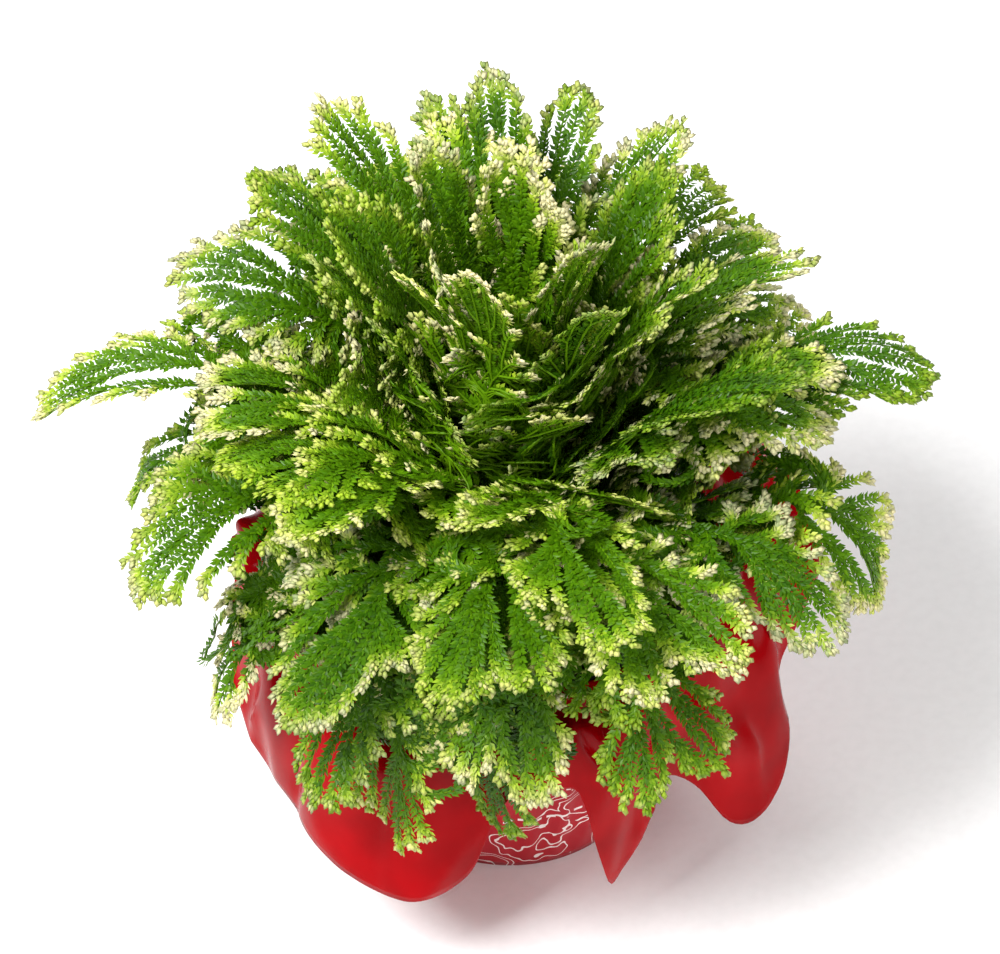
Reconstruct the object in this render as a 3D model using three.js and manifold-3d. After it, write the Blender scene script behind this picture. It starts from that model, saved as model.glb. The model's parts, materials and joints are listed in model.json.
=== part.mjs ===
// A frosty spikemoss, the "frosty fern" of the shops, in its nursery pot and printed film pot cover.
// Millimetres, +Z up. The origin is the middle of the cover's flat underside, where the pot stands,
// and azimuths turn anticlockwise from +X, seen from above.
//
// The fronds don't cross one another because each one lies on its own surface of revolution round the
// pot's axis. Those surfaces are nested like the petals of a tulip: a frond of tier 0 stands upright in
// the middle, and each further tier starts further out on the soil and leans out further along its length.
import * as THREE from "three";
import { mergeVertices } from "three/addons/utils/BufferGeometryUtils.js";
import Module from "manifold-3d";

const wasm = await Module();
wasm.setup();

// ---- Driving dimensions ----
const GAP = 0.3; // between pieces that touch on the real object

const POT_HEIGHT = 92;
const POT_RIM_RADIUS = 55; // outside of the rolled rim
const POT_RIM_DEPTH = 9;
const POT_RIM_STEP = 2; // how far the rim stands out from the wall under it
const POT_FOOT_RADIUS = 36.5;
const POT_WALL = 1.4;
const POT_FOOT_LIFT = 2; // the floor is raised inside a foot ring
const DRAIN_RADIUS = 3.5;
const DRAIN_COUNT = 6;
const DRAIN_CIRCLE = 24;

const SOIL_BELOW_RIM = 10;

const FILM = 0.6; // thickness of the cover
const COVER_CLEARANCE = 0.4; // between the pot and the cover
const SKIRT_SHOULDER_OUT = 17; // the skirt first spreads this far past the rim, or less where it is narrow...
const SKIRT_SHOULDER_UP = 9; // ...and rises this far, before it turns down to its edge
const SKIRT_SHOULDER_SHARE = 0.9; // of the skirt's own width, the most that the shoulder takes
const SKIRT_BANDS = 4; // rows of facets between the rim and the edge
const COVER_SEGMENTS = 96;

// The skirt's wavy edge: azimuth in degrees, how far past the rim and how far below it.
const SKIRT_EDGE = [
  [0, 29, 20], [24, 34, 8], [48, 28, 28], [74, 32, 10], [100, 25, 32], [126, 31, 12], [150, 25, 30],
  [172, 22, 12], [194, 25, 30], [207, 24, 46], [219, 22, 51], [236, 27, 57], [252, 26, 61], [261, 20, 54],
  [266, 17, 36], [271, 17, 23], [284, 17, 24], [292, 17, 66], [300, 16, 56], [308, 13, 38], [316, 13, 44],
  [325, 26, 64], [334, 30, 54], [345, 23, 34],
];

// The tiers: where a frond's foot is, as a share of the crown's radius, how far it leans from upright at the
// height of the pot's rim and at its tip, and its length from the rim's height on. An arch above 1 keeps a
// frond straight at first, so that it bends over near its tip. Under 1, it bends early.
const CROWN_MARGIN = 6.5; // bare soil between the outermost feet and the pot
const TIERS = [
  { foot: 0.09, leanFoot: 0, leanTip: 8, arch: 2, reach: 131 },
  { foot: 0.21, leanFoot: 1, leanTip: 22, arch: 2, reach: 132 },
  { foot: 0.33, leanFoot: 2, leanTip: 44, arch: 2, reach: 131 },
  { foot: 0.44, leanFoot: 4, leanTip: 76, arch: 2, reach: 128 },
  { foot: 0.56, leanFoot: 6, leanTip: 102, arch: 2, reach: 121 },
  { foot: 0.67, leanFoot: 9, leanTip: 120, arch: 1.9, reach: 112 },
  { foot: 0.79, leanFoot: 13, leanTip: 138, arch: 1.7, reach: 101 },
  { foot: 0.91, leanFoot: 18, leanTip: 160, arch: 1.2, reach: 90 },
  { foot: 1, leanFoot: 22, leanTip: 184, arch: 0.8, reach: 90 },
];

// Towards the front, the inner fronds stand more upright, by up to FRONT_UPRIGHT of their lean. The outer ones
// bend over within FRONT_BEND of their length, so that their fans lie flat. A deep gap opens between them.
const FRONT_UPRIGHT = 0.8;
const FRONT_BEND = [0.15, 0.6];
const FRONT_TURN = 268;

// The fronds: tier, azimuth, share of the tier's length, half width of the fan in hundredths of the crown's
// radius, and its bend to the left in millimetres.
const FRONDS = [
  [0, 90, 0.98, 28, 0], [0.4, 212, 0.9, 19, 0], [0.5, 325, 0.95, 28, 0],
  [1.1, 139, 1, 33, 2], [0.9, 218, 0.95, 24, 0], [1.5, 281, 0.84, 23, 0], [1.05, 350, 0.9, 23, 0],
  [1.1, 63, 0.99, 30, 0],
  [1.7, 101, 1, 37, -2], [1.7, 180, 0.97, 40, 0], [2.05, 250, 0.96, 35, 0], [2.1, 307, 0.92, 33, 0],
  [2.3, 102, 1.06, 37, 0], [2.6, 132, 1.03, 37, 3], [2.65, 77, 0.94, 35, -3], [2.45, 32, 0.96, 37, 0],
  [2.3, 341, 0.95, 37, 2], [2.7, 285, 0.93, 42, 0], [2.8, 229, 0.95, 40, 0], [2.4, 197, 0.96, 33, 0],
  [2.85, 160, 0.98, 40, 2],
  [3.3, 143, 0.95, 40, 0], [3.75, 108, 0.95, 42, 0], [3.1, 54, 0.92, 37, -3], [3.3, 11, 0.95, 44, 0],
  [3.2, 327, 1, 47, 0], [3.4, 266, 0.98, 47, 2], [3.4, 217, 0.97, 47, 0],
  [4.1, 160, 1, 51, 0], [4.2, 76, 0.92, 47, 0], [4.2, 28, 0.9, 47, 0], [4.1, 346, 1, 47, 0],
  [4.1, 297, 1, 51, 2], [4.3, 240, 1, 51, 0], [4.2, 193, 0.93, 42, 0],
  [5, 120, 0.95, 47, 0], [5.95, 181, 1.28, 35, 3], [5.1, 50, 0.93, 47, 0], [5.3, 357, 1.13, 51, -2],
  [5.35, 321, 1, 49, 2], [5.2, 269, 0.95, 44, 0], [5.6, 208, 1.05, 44, 0],
  [6.3, 186, 1.03, 37, 0], [6.2, 98, 0.97, 49, 0], [6.4, 140, 0.95, 47, 0], [6.2, 22, 0.95, 47, 0],
  [6.6, 343, 1.1, 42, -4], [6.2, 296, 1.02, 47, 0], [6.2, 240, 1, 49, 0],
  [7.1, 214, 0.9, 26, 3], [7.7, 248, 1.12, 33, -3], [8, 266, 1.1, 30, 2],
];
const STEM_RADIUS = 1.1;
const BLADE_HALF_THICKNESS = 0.8;
const FAN_START = 0.35; // share of a frond's length where its leafy part begins
const BLADE_WRAP = 22; // added to the distance from the axis, it is the radius that a blade is cupped to
const FROND_STATIONS = 12;
const FROND_SIDES = 6;

// The bare aerial roots that reach over the rim to the skirt: azimuth of the foot, azimuth of the tip,
// and how far along the skirt the tip lies.
const AERIAL_ROOTS = [[227, 229, 0.6], [311, 315, 0.5], [333, 341, 0.7], [197, 202, 0.6]];
const AERIAL_ROOT_RADIUS = 0.5;
const AERIAL_ROOT_MARGIN = 3.5; // from the edge of the soil to a root's foot

const degrees = THREE.MathUtils.degToRad;
const mix = THREE.MathUtils.lerp;

// ---- Materials ----
const potPlastic = new THREE.MeshStandardMaterial({ color: 0x1d1f1c, roughness: 0.55 });
const coverFilm = new THREE.MeshStandardMaterial({ color: 0xb80d16, roughness: 0.25 });
const pottingMix = new THREE.MeshStandardMaterial({ color: 0x2e2018, roughness: 0.95 });
const frostedLeaf = new THREE.MeshStandardMaterial({ color: 0x4f8f1e, roughness: 0.5 });
const rootSkin = new THREE.MeshStandardMaterial({ color: 0xb08a58, roughness: 0.6 });

// ---- Helpers ----
function lathe(profile, segments) {
  const points = profile.map(([radius, height]) => new THREE.Vector2(radius, height));
  return new THREE.LatheGeometry(points, segments).rotateX(Math.PI / 2);
}

function named(name, geometry, material) {
  const mesh = new THREE.Mesh(geometry, material);
  mesh.name = name;
  return mesh;
}

function toSolid(geometry) {
  const bare = geometry.clone();
  bare.deleteAttribute("normal");
  bare.deleteAttribute("uv");
  const merged = mergeVertices(bare, 1e-3);
  return new wasm.Manifold(new wasm.Mesh({
    numProp: 3,
    vertProperties: merged.attributes.position.array,
    triVerts: new Uint32Array(merged.index.array),
  }));
}

function toGeometry(solid) {
  const mesh = solid.getMesh();
  return new THREE.BufferGeometry()
    .setAttribute("position", new THREE.BufferAttribute(mesh.vertProperties, 3))
    .setIndex(new THREE.BufferAttribute(mesh.triVerts, 1));
}

// Moves every vertex of a geometry to the place that move(point) gives it.
function reshape(geometry, move) {
  const position = geometry.attributes.position;
  const point = new THREE.Vector3();
  for (let i = 0; i < position.count; i++) {
    point.fromBufferAttribute(position, i);
    const moved = move(point);
    position.setXYZ(i, moved.x, moved.y, moved.z);
  }
  geometry.deleteAttribute("normal");
  return geometry;
}

// ---- Pot and soil ----
const potBottom = FILM + GAP;
const potTop = potBottom + POT_HEIGHT;
const wallTopRadius = POT_RIM_RADIUS - POT_RIM_STEP;

// The outside radius of the pot's tapered wall at a height.
function potWallRadius(height) {
  return mix(POT_FOOT_RADIUS, wallTopRadius, (height - potBottom) / POT_HEIGHT);
}

function makePot() {
  const floor = potBottom + POT_FOOT_LIFT;
  const rimBottom = potTop - POT_RIM_DEPTH;
  const body = toSolid(lathe([
    [0, floor],
    [potWallRadius(floor) - POT_WALL * 2, floor],
    [POT_FOOT_RADIUS - POT_WALL * 2, potBottom],
    [POT_FOOT_RADIUS, potBottom],
    [potWallRadius(rimBottom), rimBottom],
    [POT_RIM_RADIUS, rimBottom],
    [POT_RIM_RADIUS, potTop],
    [wallTopRadius - POT_WALL, potTop],
    [potWallRadius(floor + POT_WALL) - POT_WALL, floor + POT_WALL],
    [0, floor + POT_WALL],
  ], 48));
  const drain = new THREE.CylinderGeometry(DRAIN_RADIUS, DRAIN_RADIUS, POT_WALL * 4, 16);
  drain.rotateX(Math.PI / 2).translate(DRAIN_CIRCLE, 0, floor);
  let pot = body;
  for (let i = 0; i < DRAIN_COUNT; i++) {
    const turned = drain.clone().rotateZ((i / DRAIN_COUNT) * 2 * Math.PI);
    pot = pot.subtract(toSolid(turned));
  }
  return toGeometry(pot);
}

const soilTop = potTop - SOIL_BELOW_RIM;
const soilRadius = potWallRadius(soilTop) - POT_WALL - GAP;
const crownRadius = soilRadius - CROWN_MARGIN;

function makeSoil() {
  const bottom = potBottom + POT_FOOT_LIFT + POT_WALL + GAP;
  const bottomRadius = potWallRadius(bottom) - POT_WALL - GAP;
  return lathe([[0, bottom], [bottomRadius, bottom], [soilRadius, soilTop], [0, soilTop]], 48);
}

// ---- Pot cover ----
const coverRimRadius = POT_RIM_RADIUS + COVER_CLEARANCE + FILM / 2;
const coverRimHeight = potTop;
const coverNeckHeight = potTop - POT_RIM_DEPTH - 3; // the cover is widest from just under the pot's rim

// The skirt's edge at an azimuth in radians, on a smooth closed curve through SKIRT_EDGE.
const skirtEdge = (() => {
  const curve = new THREE.CatmullRomCurve3(
    SKIRT_EDGE.map(([turn, out, below]) => new THREE.Vector3(
      (POT_RIM_RADIUS + out) * Math.cos(degrees(turn)), (POT_RIM_RADIUS + out) * Math.sin(degrees(turn)),
      coverRimHeight - below)), true, "centripetal");
  const samples = curve.getPoints(COVER_SEGMENTS * 8);
  return (azimuth) => {
    let best = samples[0];
    let bestGap = Infinity;
    for (const sample of samples) {
      const gap = Math.abs(Math.atan2(
        Math.sin(azimuth - Math.atan2(sample.y, sample.x)),
        Math.cos(azimuth - Math.atan2(sample.y, sample.x))));
      if (gap < bestGap) [best, bestGap] = [sample, gap];
    }
    return { radius: Math.hypot(best.x, best.y), height: best.z };
  };
})();

// A point of the skirt: along is 0 at the rim and 1 at the edge, and side is -1 or 1 for its two faces.
function skirtPoint(azimuth, along, side) {
  const edge = skirtEdge(azimuth);
  const shoulder = Math.min(SKIRT_SHOULDER_OUT, SKIRT_SHOULDER_SHARE * (edge.radius - coverRimRadius));
  const curve = new THREE.QuadraticBezierCurve(
    new THREE.Vector2(coverRimRadius, coverRimHeight),
    new THREE.Vector2(coverRimRadius + shoulder, coverRimHeight + SKIRT_SHOULDER_UP),
    new THREE.Vector2(edge.radius, edge.height));
  const middle = curve.getPoint(along);
  const tangent = curve.getTangent(along);
  const radius = middle.x + side * tangent.y * FILM / 2;
  const height = middle.y - side * tangent.x * FILM / 2;
  return new THREE.Vector3(radius * Math.cos(azimuth), radius * Math.sin(azimuth), height);
}

// The film is one sheet. Its cup and its skirt are separate solids, so that the space under the skirt stays open.
function makeCoverCup() {
  const baseRadius = POT_FOOT_RADIUS + COVER_CLEARANCE + FILM;
  const top = coverRimHeight - GAP;
  return lathe([
    [0, 0],
    [baseRadius, 0],
    [coverRimRadius + FILM / 2, coverNeckHeight],
    [coverRimRadius + FILM / 2, top],
    [coverRimRadius - FILM / 2, top],
    [coverRimRadius - FILM / 2, coverNeckHeight],
    [baseRadius - FILM, FILM],
    [0, FILM],
  ], COVER_SEGMENTS);
}

function makeCoverSkirt() {
  // A flat ring stands in for the skirt until its rows of vertices are moved to their places.
  const bands = [...Array(SKIRT_BANDS + 1).keys()];
  const under = bands.map((band) => [coverRimRadius + band, -1]);
  const over = bands.toReversed().map((band) => [coverRimRadius + band, 1]);
  return reshape(lathe([...under, ...over, under[0]], COVER_SEGMENTS), (point) => {
    const band = Math.hypot(point.x, point.y) - coverRimRadius;
    return skirtPoint(Math.atan2(point.y, point.x), band / SKIRT_BANDS, -Math.sign(point.z));
  });
}

// ---- Fronds ----
function tierAt(tier) {
  const lower = Math.min(Math.floor(tier), TIERS.length - 2);
  const between = (key) => mix(TIERS[lower][key], TIERS[lower + 1][key], tier - lower);
  const keys = ["foot", "leanFoot", "leanTip", "arch", "reach"];
  return Object.fromEntries(keys.map((key) => [key, between(key)]));
}

// The centreline in its upright plane, as points [distance from the pot's axis, height, lean]. The first
// stretch is straight, from the soil to the height of the rim.
function centreline({ tier, turn, share }) {
  const { foot, leanFoot, leanTip, arch, reach } = tierAt(tier);
  const facesFront = Math.max(0, Math.cos(degrees(turn - FRONT_TURN))) ** 2;
  const outer = THREE.MathUtils.smoothstep(tier, 2.2, 2.6);
  const tipLean = leanTip * (1 - FRONT_UPRIGHT * facesFront * (1 - outer));
  const stepsEach = 8;
  const steps = FROND_STATIONS * stepsEach;
  const step = (SOIL_BELOW_RIM + reach * share) / steps;
  let out = foot * crownRadius;
  let up = soilTop + GAP + STEM_RADIUS * Math.sin(degrees(leanFoot));
  const points = [];
  for (let i = 0; i <= steps; i++) {
    const pastRim = Math.max(0, (i * step - SOIL_BELOW_RIM) / (reach * share));
    const bent = mix(pastRim ** arch, THREE.MathUtils.smoothstep(pastRim, ...FRONT_BEND), facesFront * outer);
    const lean = degrees(mix(leanFoot, tipLean, bent));
    if (i % stepsEach === 0) points.push({ out, up, lean });
    out += step * Math.sin(lean);
    up += step * Math.cos(lean);
  }
  return points;
}

// Half the frond's width at a share of its length: a bare stem, two lower lobes and the fan at the end.
function halfWidth(along, side, fan) {
  const lobe = (middle, span, width) => {
    const offset = (along - middle) / span;
    return Math.abs(offset) < 1 ? width * Math.sqrt(1 - offset * offset) : 0;
  };
  const arm = side > 0 ? lobe(0.44, 0.14, fan * 0.66) : lobe(0.54, 0.15, fan * 0.74);
  return Math.max(STEM_RADIUS, arm, lobe(0.79, 0.23, fan));
}

function makeFrond(frond) {
  const points = centreline(frond);
  const fan = (frond.fan / 100) * crownRadius;
  const shape = new THREE.CylinderGeometry(1, 1, FROND_STATIONS, FROND_SIDES, FROND_STATIONS, false, Math.PI / 2);
  return reshape(shape, (point) => {
    const station = Math.round(point.y + FROND_STATIONS / 2);
    const along = station / FROND_STATIONS;
    const { out, up, lean } = points[station];
    const width = point.x * halfWidth(along, Math.sign(point.x), fan);
    const across = width + frond.bend * along * along;
    const thickness = mix(STEM_RADIUS, BLADE_HALF_THICKNESS, Math.min(1, along / FAN_START));
    const wrap = out + BLADE_WRAP;
    const inward = wrap * (1 - Math.cos(across / wrap)) - point.z * thickness * Math.cos(lean);
    const radial = out - inward;
    const sideways = wrap * Math.sin(across / wrap);
    const turn = degrees(frond.turn);
    return new THREE.Vector3(
      radial * Math.cos(turn) - sideways * Math.sin(turn),
      radial * Math.sin(turn) + sideways * Math.cos(turn),
      up - point.z * thickness * Math.sin(lean));
  });
}

// ---- Aerial roots ----
function makeAerialRoot([footTurn, tipTurn, along]) {
  const at = (radius, turn, height) => new THREE.Vector3(
    radius * Math.cos(degrees(turn)), radius * Math.sin(degrees(turn)), height);
  const foot = at(soilRadius - AERIAL_ROOT_MARGIN, footTurn, soilTop + GAP + AERIAL_ROOT_RADIUS);
  const tip = skirtPoint(degrees(tipTurn), along, -1);
  tip.z += GAP + AERIAL_ROOT_RADIUS * 5;
  const bend = at(Math.hypot(tip.x, tip.y) * 0.9, tipTurn, coverRimHeight + SKIRT_SHOULDER_UP * 5.5);
  const section = new THREE.Shape();
  section.absarc(0, 0, AERIAL_ROOT_RADIUS, 0, 2 * Math.PI);
  return new THREE.ExtrudeGeometry(section, {
    extrudePath: new THREE.QuadraticBezierCurve3(foot, bend, tip),
    steps: 10,
    curveSegments: 6,
    bevelEnabled: false,
  });
}

// ---- The object ----
const plant = new THREE.Group();
plant.add(named("nursery_pot", makePot(), potPlastic));
plant.add(named("cover_cup", makeCoverCup(), coverFilm));
plant.add(named("cover_skirt", makeCoverSkirt(), coverFilm));
plant.add(named("potting_soil", makeSoil(), pottingMix));
FRONDS.forEach(([tier, turn, share, fan, bend], i) => {
  const name = `frond_${String(i + 1).padStart(2, "0")}`;
  plant.add(named(name, makeFrond({ tier, turn, share, fan, bend }), frostedLeaf));
});
AERIAL_ROOTS.forEach((root, i) => {
  plant.add(named(`aerial_root_${i + 1}`, makeAerialRoot(root), rootSkin));
});

export default plant;
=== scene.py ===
# %% [markdown]
# # A frosty spikemoss in its pot and film cover
# The plant grows in fan-shaped fronds, every one built from thousands of tiny overlapping scale leaves.
# Around its pot goes a glossy film cover with a wide wavy skirt. The CAD model gives each piece's size and
# place, as plain solids. The cells below read those solids and put the real surface where they are:
# first the camera and light, then the cover, the pot, the soil and the roots, and last the fronds.

# %% Load the CAD model
import json
import math
import random

import bmesh
import bpy
import numpy as np
from mathutils import Matrix, Vector, noise

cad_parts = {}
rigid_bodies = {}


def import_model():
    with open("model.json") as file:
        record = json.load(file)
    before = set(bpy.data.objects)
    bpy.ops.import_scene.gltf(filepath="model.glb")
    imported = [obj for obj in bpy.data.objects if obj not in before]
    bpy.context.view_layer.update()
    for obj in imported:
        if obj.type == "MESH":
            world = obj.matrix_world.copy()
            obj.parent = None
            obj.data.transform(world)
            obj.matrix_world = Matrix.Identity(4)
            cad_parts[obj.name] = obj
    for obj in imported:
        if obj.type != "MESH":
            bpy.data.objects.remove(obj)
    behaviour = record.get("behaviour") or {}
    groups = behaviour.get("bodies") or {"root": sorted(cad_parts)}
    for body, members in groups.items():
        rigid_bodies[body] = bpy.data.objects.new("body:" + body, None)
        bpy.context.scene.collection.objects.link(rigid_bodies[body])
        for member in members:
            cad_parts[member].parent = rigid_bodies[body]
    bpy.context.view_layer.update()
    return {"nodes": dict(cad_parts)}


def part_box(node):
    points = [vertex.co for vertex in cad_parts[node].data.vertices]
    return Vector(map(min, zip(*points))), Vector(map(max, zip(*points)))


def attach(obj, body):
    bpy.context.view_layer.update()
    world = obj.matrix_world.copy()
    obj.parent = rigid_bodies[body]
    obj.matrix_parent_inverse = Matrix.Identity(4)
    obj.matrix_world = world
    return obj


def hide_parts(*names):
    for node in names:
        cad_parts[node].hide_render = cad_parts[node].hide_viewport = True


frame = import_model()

MM = 0.001

# %% [markdown]
# ## Camera, floor and light
# The plant is seen from the front and from above, at 47 degrees. A long lens far away keeps the fronds near
# the camera from looking too big. The floor is one large pale sheet. Three big soft lamps light the plant,
# the strongest from the left, and a dim sky fills the shadows between the fronds a little.

# %% Camera
VIEW_ELEVATION = math.radians(47)
VIEW_DISTANCE = 2.4
aim = Vector((-2.7 * MM, 0, 118 * MM))  # about the middle of the plant, as seen from there
camera_data = bpy.data.cameras.new("camera")
camera_data.sensor_width = 36
camera_data.lens = 320
camera = bpy.data.objects.new("camera", camera_data)
bpy.context.collection.objects.link(camera)
toward_camera = Vector((0, -math.cos(VIEW_ELEVATION), math.sin(VIEW_ELEVATION)))
camera.location = aim + VIEW_DISTANCE * toward_camera
camera.rotation_euler = (-toward_camera).to_track_quat("-Z", "Y").to_euler()
bpy.context.scene.camera = camera
bpy.context.scene.view_settings.view_transform = "Standard"

# %% Floor and lamps
floor_mesh = bpy.data.meshes.new("floor")
floor_form = bmesh.new()
bmesh.ops.create_grid(floor_form, x_segments=1, y_segments=1, size=4)
floor_form.to_mesh(floor_mesh)
floor_form.free()
floor = bpy.data.objects.new("floor", floor_mesh)
bpy.context.collection.objects.link(floor)


def add_lamp(name, place, size, power):
    lamp_data = bpy.data.lights.new(name, "AREA")
    lamp_data.size = size
    lamp_data.energy = power
    lamp = bpy.data.objects.new(name, lamp_data)
    lamp.location = place
    lamp.rotation_euler = (Vector(place) - aim).to_track_quat("Z", "Y").to_euler()
    bpy.context.collection.objects.link(lamp)


add_lamp("key", (-0.8, -0.6, 1.6), 0.8, 54)
add_lamp("fill", (1.1, -0.9, 0.9), 0.9, 12)
add_lamp("back", (0.2, 1.1, 1.6), 0.9, 14)
world = bpy.data.worlds.new("studio")
bpy.context.scene.world = world
world.use_nodes = True
world.node_tree.nodes["Background"].inputs["Color"].default_value = (1, 1, 1, 1)
world.node_tree.nodes["Background"].inputs["Strength"].default_value = 0.2

# %% [markdown]
# ## Helpers for materials
# Colours are picked as sRGB hex values, and the shader needs linear numbers, so one function turns them.
# One more function adds a node with its settings and its links.


# %% Colours and nodes
def linear(hex_colour):
    channels = [int(hex_colour[i:i + 2], 16) / 255 for i in (1, 3, 5)]
    return (*(c / 12.92 if c <= 0.04045 else ((c + 0.055) / 1.055) ** 2.4 for c in channels), 1)


def add_node(material, kind, settings=(), **inputs):
    node = material.node_tree.nodes.new(kind)
    for name, value in dict(settings).items():
        setattr(node, name, value)
    for name, value in inputs.items():
        socket = node.inputs[int(name[1:])] if name[1:].isdigit() else node.inputs[name.replace("_", " ")]
        if isinstance(value, bpy.types.NodeSocket):
            material.node_tree.links.new(value, socket)
        else:
            socket.default_value = value
    return node


def new_material(name, **shader_values):
    material = bpy.data.materials.new(name)
    material.use_nodes = True
    shader = material.node_tree.nodes["Principled BSDF"]
    for key, value in shader_values.items():
        shader.inputs[key.replace("_", " ")].default_value = value
    return material, shader


def colour_ramp(material, factor, *stops):
    ramp = add_node(material, "ShaderNodeValToRGB", Fac=factor)
    elements = ramp.color_ramp.elements
    while len(elements) < len(stops):
        elements.new(0.5)
    for element, (place, hex_colour) in zip(elements, stops):
        element.position = place
        element.color = linear(hex_colour)
    return ramp.outputs["Color"]


def link(material, output, socket):
    material.node_tree.links.new(output, socket)


paper, paper_shader = new_material("white_studio_paper", Roughness=0.9)
paper_coordinates = add_node(paper, "ShaderNodeTexCoord").outputs["Object"]
paper_grain = add_node(paper, "ShaderNodeTexNoise", Vector=paper_coordinates, Scale=300.0).outputs["Fac"]
paper_colour = colour_ramp(paper, paper_grain, (0.3, "#f6f6f6"), (0.7, "#fafafa"))
link(paper, paper_colour, paper_shader.inputs["Base Color"])
floor.data.materials.append(paper)

# %% [markdown]
# ## Reading a CAD solid
# Most CAD solids here are made of rings of points, from one end to the other. Counting steps along the
# mesh's edges from the first ring gives each point's ring, so a path can be read back from the solid.


# %% Rings of a solid
def merged_copy(node):
    form = bmesh.new()
    form.from_mesh(frame["nodes"][node].data)
    bmesh.ops.remove_doubles(form, verts=form.verts, dist=1e-6)
    return form


def rings_of(form, is_first):
    ring_of = {vertex: 0 for vertex in form.verts if is_first(vertex.co)}
    edge_of_search = list(ring_of)
    while edge_of_search:
        reached = []
        for vertex in edge_of_search:
            for edge in vertex.link_edges:
                other = edge.other_vert(vertex)
                if other not in ring_of:
                    ring_of[other] = ring_of[vertex] + 1
                    reached.append(other)
        edge_of_search = reached
    rings = [[] for _ in range(max(ring_of.values()) + 1)]
    for vertex, ring in ring_of.items():
        rings[ring].append(vertex.co.copy())
    return rings


def smooth_samples(values, places):
    """Values on a Catmull-Rom curve through evenly spaced values, at places counted in steps."""
    values = np.asarray(values, float)
    places = np.clip(np.asarray(places, float), 0, len(values) - 1)
    low = np.minimum(places.astype(int), len(values) - 2)
    t = places - low
    at = lambda k: values[np.clip(low + k, 0, len(values) - 1)]
    before, first, second, after = at(-1), at(0), at(1), at(2)
    return 0.5 * (2 * first + (second - before) * t + (2 * before - 5 * first + 4 * second - after) * t**2
                  + (3 * first - before - 3 * second + after) * t**3)


soil_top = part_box("potting_soil")[1][2]
soil_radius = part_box("potting_soil")[1][0]
print("soil top at", round(1000 * soil_top, 1), "mm, radius", round(1000 * soil_radius, 1), "mm")

# %% [markdown]
# ## The film cover
# The cover is one sheet of thin glossy film. It is flat under the pot, stands round it like a cup, and past
# the rim it flares into a skirt with big soft waves. A flat grid has the right faces for a sheet, so the
# grid is laid along the cover: its columns run round the pot and its rows run from the middle of the base
# to the edge of the skirt. The CAD skirt gives the skirt's shape, and pleats and creases are added to it.
# Solidify then gives the film its thickness, and a second material on its printed side.

# %% Read the skirt
def ring_centres(node, first_within, columns):
    form = merged_copy(node)
    nearest = min(math.hypot(vertex.co.x, vertex.co.y) for vertex in form.verts)
    rings = rings_of(form, lambda co: math.hypot(co.x, co.y) < nearest + first_within)
    form.free()
    grid = np.zeros((len(rings), columns, 3))
    for row, ring in enumerate(rings):
        for point in ring:
            column = round(math.atan2(point.y, point.x) / (2 * math.pi) * columns) % columns
            grid[row, column] += np.array(point) / 2  # one point from each face of the film
    return grid


SKIRT_COLUMNS = 96  # points round each ring of the CAD skirt
FILM_GAUGE = 0.15 * MM
skirt = ring_centres("cover_skirt", 0.8 * MM, SKIRT_COLUMNS)
rim_radius = float(np.hypot(skirt[0, :, 0], skirt[0, :, 1]).mean())
rim_height = float(skirt[0, :, 2].mean())
base_radius = 37.0 * MM
neck_height = rim_height - 12 * MM
print("skirt:", skirt.shape[0], "rows, rim radius", round(1000 * rim_radius, 1), "mm,",
      round(1000 * rim_height, 1), "mm up")


# %% A place on the cover
def skirt_place(turn, along):
    column = turn / (2 * math.pi) * SKIRT_COLUMNS
    first = int(math.floor(column))
    row = along * (skirt.shape[0] - 1)
    nearest = [skirt[:, (first + k) % SKIRT_COLUMNS] for k in (-1, 0, 1, 2)]
    corners = [[smooth_samples(line[:, axis], row) for axis in range(3)] for line in nearest]
    return np.array([smooth_samples([corner[axis] for corner in corners], 1 + column - first)
                     for axis in range(3)])


# %% Creases in the skirt
# The steps of 0.7549 and 0.5698 never fall in line, so they scatter the creases evenly over the skirt.
FOLD_COUNT = 120
MM_PER_RADIAN = 78  # round the skirt, at its middle
SKIRT_LENGTH = 46  # mm from the rim to the skirt's edge
HIGHEST_FOLD = 4  # mm
fold_dice = random.Random(11)
FOLDS = [(2 * math.pi * (k * 0.7549 % 1),
          0.1 + 0.95 * (k * 0.5698 % 1),
          fold_dice.uniform(0, math.pi),
          fold_dice.choice((-1, 1)) * fold_dice.uniform(0.7, 1.2),
          fold_dice.uniform(6, 12)) for k in range(FOLD_COUNT)]


def folds(turn, along):
    """Straight creases: each lifts the film like a shallow roof, in mm, and fades away from its middle."""
    lifted = 0
    for fold_turn, fold_along, way, steepness, reach in FOLDS:
        x = ((turn - fold_turn + math.pi) % (2 * math.pi) - math.pi) * MM_PER_RADIAN
        y = (along - fold_along) * SKIRT_LENGTH
        near = (x * x + y * y) / (reach * reach)
        if near < 6:
            lifted += steepness * abs(x * math.cos(way) + y * math.sin(way)) * math.exp(-near)
    return HIGHEST_FOLD * math.tanh(lifted / HIGHEST_FOLD)


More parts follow.
